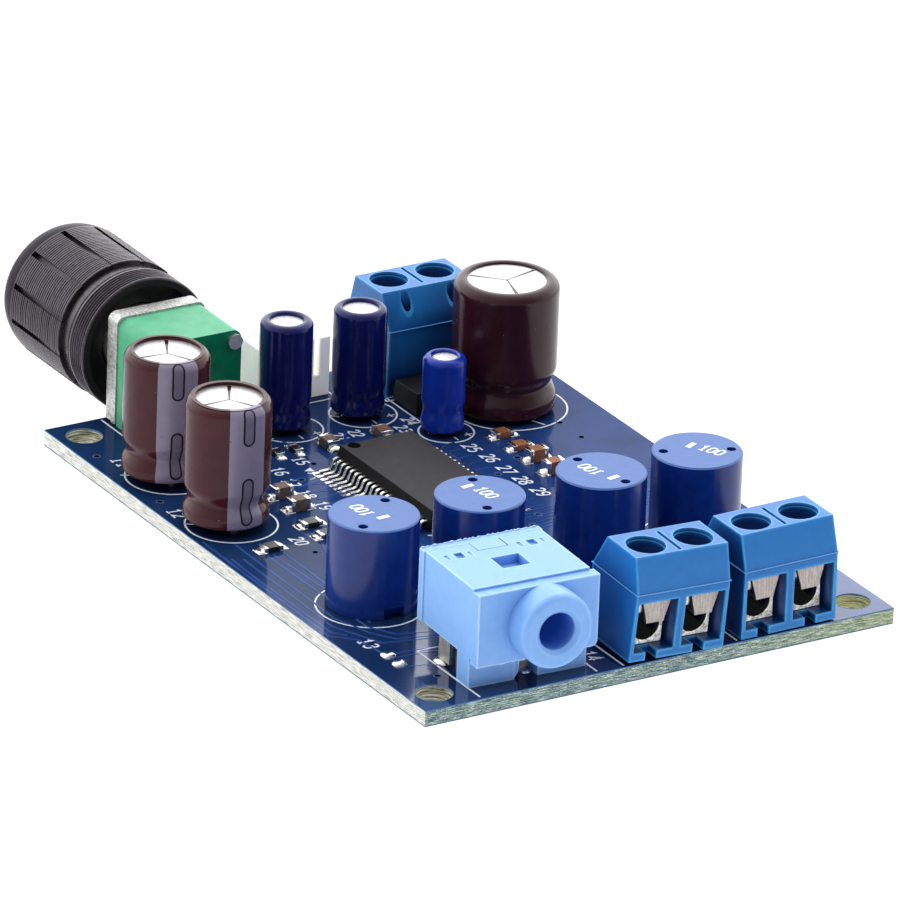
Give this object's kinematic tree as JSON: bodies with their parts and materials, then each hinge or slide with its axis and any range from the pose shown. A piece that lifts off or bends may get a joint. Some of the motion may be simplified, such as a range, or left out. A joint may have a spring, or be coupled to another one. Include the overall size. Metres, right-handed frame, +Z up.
{
  "type": "audio amplifier module",
  "caption": "Small audio amplifier circuit board with a volume knob, a round input socket, screw terminals, inductors and electrolytic capacitors.",
  "frame": {"origin": "centre of the four mounting holes, at the board's underside", "axes": "+Z up out of the board's component side, +Y from the edge with the input socket to the edge with the volume knob, +X to the right seen from the socket edge"},
  "size_m": [0.05, 0.0889, 0.0164],
  "materials": {
    "board_mask": "glossy navy solder mask over glass-epoxy laminate, pale layered edges",
    "solder": "bright tin solder, slightly dull",
    "die_cast": "rough die-cast zinc alloy with dark pits",
    "green_plastic": "green moulded plastic",
    "rivet": "dull steel",
    "wafer": "brown laminate with black tracks",
    "tinned": "tinned brass, satin",
    "shaft": "turned aluminium",
    "rotor": "dark moulded plastic",
    "wiper": "spring bronze",
    "knob_metal": "gunmetal anodised aluminium with fine turned grooves",
    "knob_insert": "black plastic",
    "terminal_blue": "mid-blue moulded polyamide",
    "nickel": "nickel-plated strip",
    "screw": "zinc-plated steel",
    "jack_blue": "light sky-blue moulded plastic",
    "cream": "cream nylon",
    "chip_black": "dark grey-brown moulded epoxy",
    "diode_black": "black moulded epoxy",
    "ceramic_brown": "brown ceramic",
    "resistor_black": "black glazed film",
    "coil_blue": "blue moulded cup, matte top and glossy side",
    "sleeve_brown": "brown shrunk sleeve with a lilac-grey stripe",
    "sleeve_dark": "dark brown shrunk sleeve with a lilac-grey stripe",
    "sleeve_navy": "deep navy shrunk sleeve",
    "can": "bare drawn aluminium"
  },
  "bodies": {
    "module": {"circuit_board": "board_mask", "solder_fillets": "solder", "pot_bushing_plate": "die_cast", "pot_housing": "green_plastic", "pot_rivets": "rivet", "pot_track_wafers": "wafer", "pot_terminals": "tinned", "speaker_terminal_a_housing": "terminal_blue", "speaker_terminal_b_housing": "terminal_blue", "power_terminal_housing": "terminal_blue", "terminal_wire_cages": "nickel", "jack_housing": "jack_blue", "jack_rear_cover": "jack_blue", "jack_sleeve_contact": "tinned", "jack_tip_spring": "tinned", "jack_ring_spring": "tinned", "jack_switch_contacts": "tinned", "header_housing": "cream", "header_pins": "tinned", "amplifier_chip_body": "chip_black", "amplifier_chip_leads": "tinned", "diode_body": "diode_black", "diode_tabs": "tinned", "chip_capacitor_bodies": "ceramic_brown", "chip_capacitor_end_caps": "solder", "chip_resistor_bodies": "resistor_black", "chip_resistor_end_caps": "solder", "output_inductor_1": "coil_blue", "output_inductor_2": "coil_blue", "output_inductor_3": "coil_blue", "output_inductor_4": "coil_blue", "inductor_leads": "tinned", "brown_capacitor_sleeves": "sleeve_brown", "brown_capacitor_cans": "can", "main_capacitor_sleeve": "sleeve_dark", "main_capacitor_can": "can", "blue_capacitor_sleeves": "sleeve_navy", "blue_capacitor_cans": "can", "small_capacitor_sleeve": "sleeve_navy", "small_capacitor_can": "can", "capacitor_leads": "tinned"},
    "volume_knob": {"pot_shaft": "shaft", "pot_rotor": "rotor", "pot_wipers": "wiper", "knob_shell": "knob_metal", "knob_hub": "knob_insert"},
    "speaker_a_left_leaf": {"speaker_a_left_clamp_leaf": "nickel"},
    "speaker_a_left_screw": {"speaker_a_left_screw": "screw"},
    "speaker_a_right_leaf": {"speaker_a_right_clamp_leaf": "nickel"},
    "speaker_a_right_screw": {"speaker_a_right_screw": "screw"},
    "speaker_b_left_leaf": {"speaker_b_left_clamp_leaf": "nickel"},
    "speaker_b_left_screw": {"speaker_b_left_screw": "screw"},
    "speaker_b_right_leaf": {"speaker_b_right_clamp_leaf": "nickel"},
    "speaker_b_right_screw": {"speaker_b_right_screw": "screw"},
    "power_left_leaf": {"power_left_clamp_leaf": "nickel"},
    "power_left_screw": {"power_left_screw": "screw"},
    "power_right_leaf": {"power_right_clamp_leaf": "nickel"},
    "power_right_screw": {"power_right_screw": "screw"}
  },
  "joints": [
    {"name": "volume_turn", "type": "hinge", "parent": "module", "child": "volume_knob", "pos_m": [-0.01405, 0.04, 0.008], "axis": [0, 1, 0], "range_deg": [-150, 150]},
    {"name": "speaker_a_left_clamp", "type": "slide", "parent": "module", "child": "speaker_a_left_leaf", "axis": [0.044, -0.0432, 0.9981], "range_m": [-0.00082, 0.00102]},
    {"name": "speaker_a_left_screw_turn", "type": "hinge", "parent": "speaker_a_left_leaf", "child": "speaker_a_left_screw", "pos_m": [-0.00124, -0.03218, 0.00207], "axis": [0.044, -0.0432, 0.9981], "range_deg": [-656.5, 816.5]},
    {"name": "speaker_a_right_clamp", "type": "slide", "parent": "module", "child": "speaker_a_right_leaf", "axis": [0.044, -0.0432, 0.9981], "range_m": [-0.00082, 0.00102]},
    {"name": "speaker_a_right_screw_turn", "type": "hinge", "parent": "speaker_a_right_leaf", "child": "speaker_a_right_screw", "pos_m": [0.00383, -0.03214, 0.00185], "axis": [0.044, -0.0432, 0.9981], "range_deg": [-656.5, 816.5]},
    {"name": "speaker_b_left_clamp", "type": "slide", "parent": "module", "child": "speaker_b_left_leaf", "axis": [-0.0105, 0, 0.9999], "range_m": [-0.00082, 0.00102]},
    {"name": "speaker_b_left_screw_turn", "type": "hinge", "parent": "speaker_b_left_leaf", "child": "speaker_b_left_screw", "pos_m": [0.01109, -0.0318, 0.00167], "axis": [-0.0105, 0, 0.9999], "range_deg": [-656.5, 816.5]},
    {"name": "speaker_b_right_clamp", "type": "slide", "parent": "module", "child": "speaker_b_right_leaf", "axis": [-0.0105, 0, 0.9999], "range_m": [-0.00082, 0.00102]},
    {"name": "speaker_b_right_screw_turn", "type": "hinge", "parent": "speaker_b_right_leaf", "child": "speaker_b_right_screw", "pos_m": [0.01617, -0.0318, 0.00172], "axis": [-0.0105, 0, 0.9999], "range_deg": [-656.5, 816.5]},
    {"name": "power_left_clamp", "type": "slide", "parent": "module", "child": "power_left_leaf", "axis": [0, 0, 1], "range_m": [-0.00082, 0.00102]},
    {"name": "power_left_screw_turn", "type": "hinge", "parent": "power_left_leaf", "child": "power_left_screw", "pos_m": [0.01024, 0.03155, 0.0016], "axis": [0, 0, 1], "range_deg": [-656.5, 816.5]},
    {"name": "power_right_clamp", "type": "slide", "parent": "module", "child": "power_right_leaf", "axis": [0, 0, 1], "range_m": [-0.00082, 0.00102]},
    {"name": "power_right_screw_turn", "type": "hinge", "parent": "power_right_leaf", "child": "power_right_screw", "pos_m": [0.01532, 0.03155, 0.0016], "axis": [0, 0, 1], "range_deg": [-656.5, 816.5]}
  ],
  "couplings": [
    {"joint": "speaker_a_left_screw_turn", "follows": "speaker_a_left_clamp", "rad_per_m": 13963},
    {"joint": "speaker_a_right_screw_turn", "follows": "speaker_a_right_clamp", "rad_per_m": 13963},
    {"joint": "speaker_b_left_screw_turn", "follows": "speaker_b_left_clamp", "rad_per_m": 13963},
    {"joint": "speaker_b_right_screw_turn", "follows": "speaker_b_right_clamp", "rad_per_m": 13963},
    {"joint": "power_left_screw_turn", "follows": "power_left_clamp", "rad_per_m": 13963},
    {"joint": "power_right_screw_turn", "follows": "power_right_clamp", "rad_per_m": 13963}
  ]
}
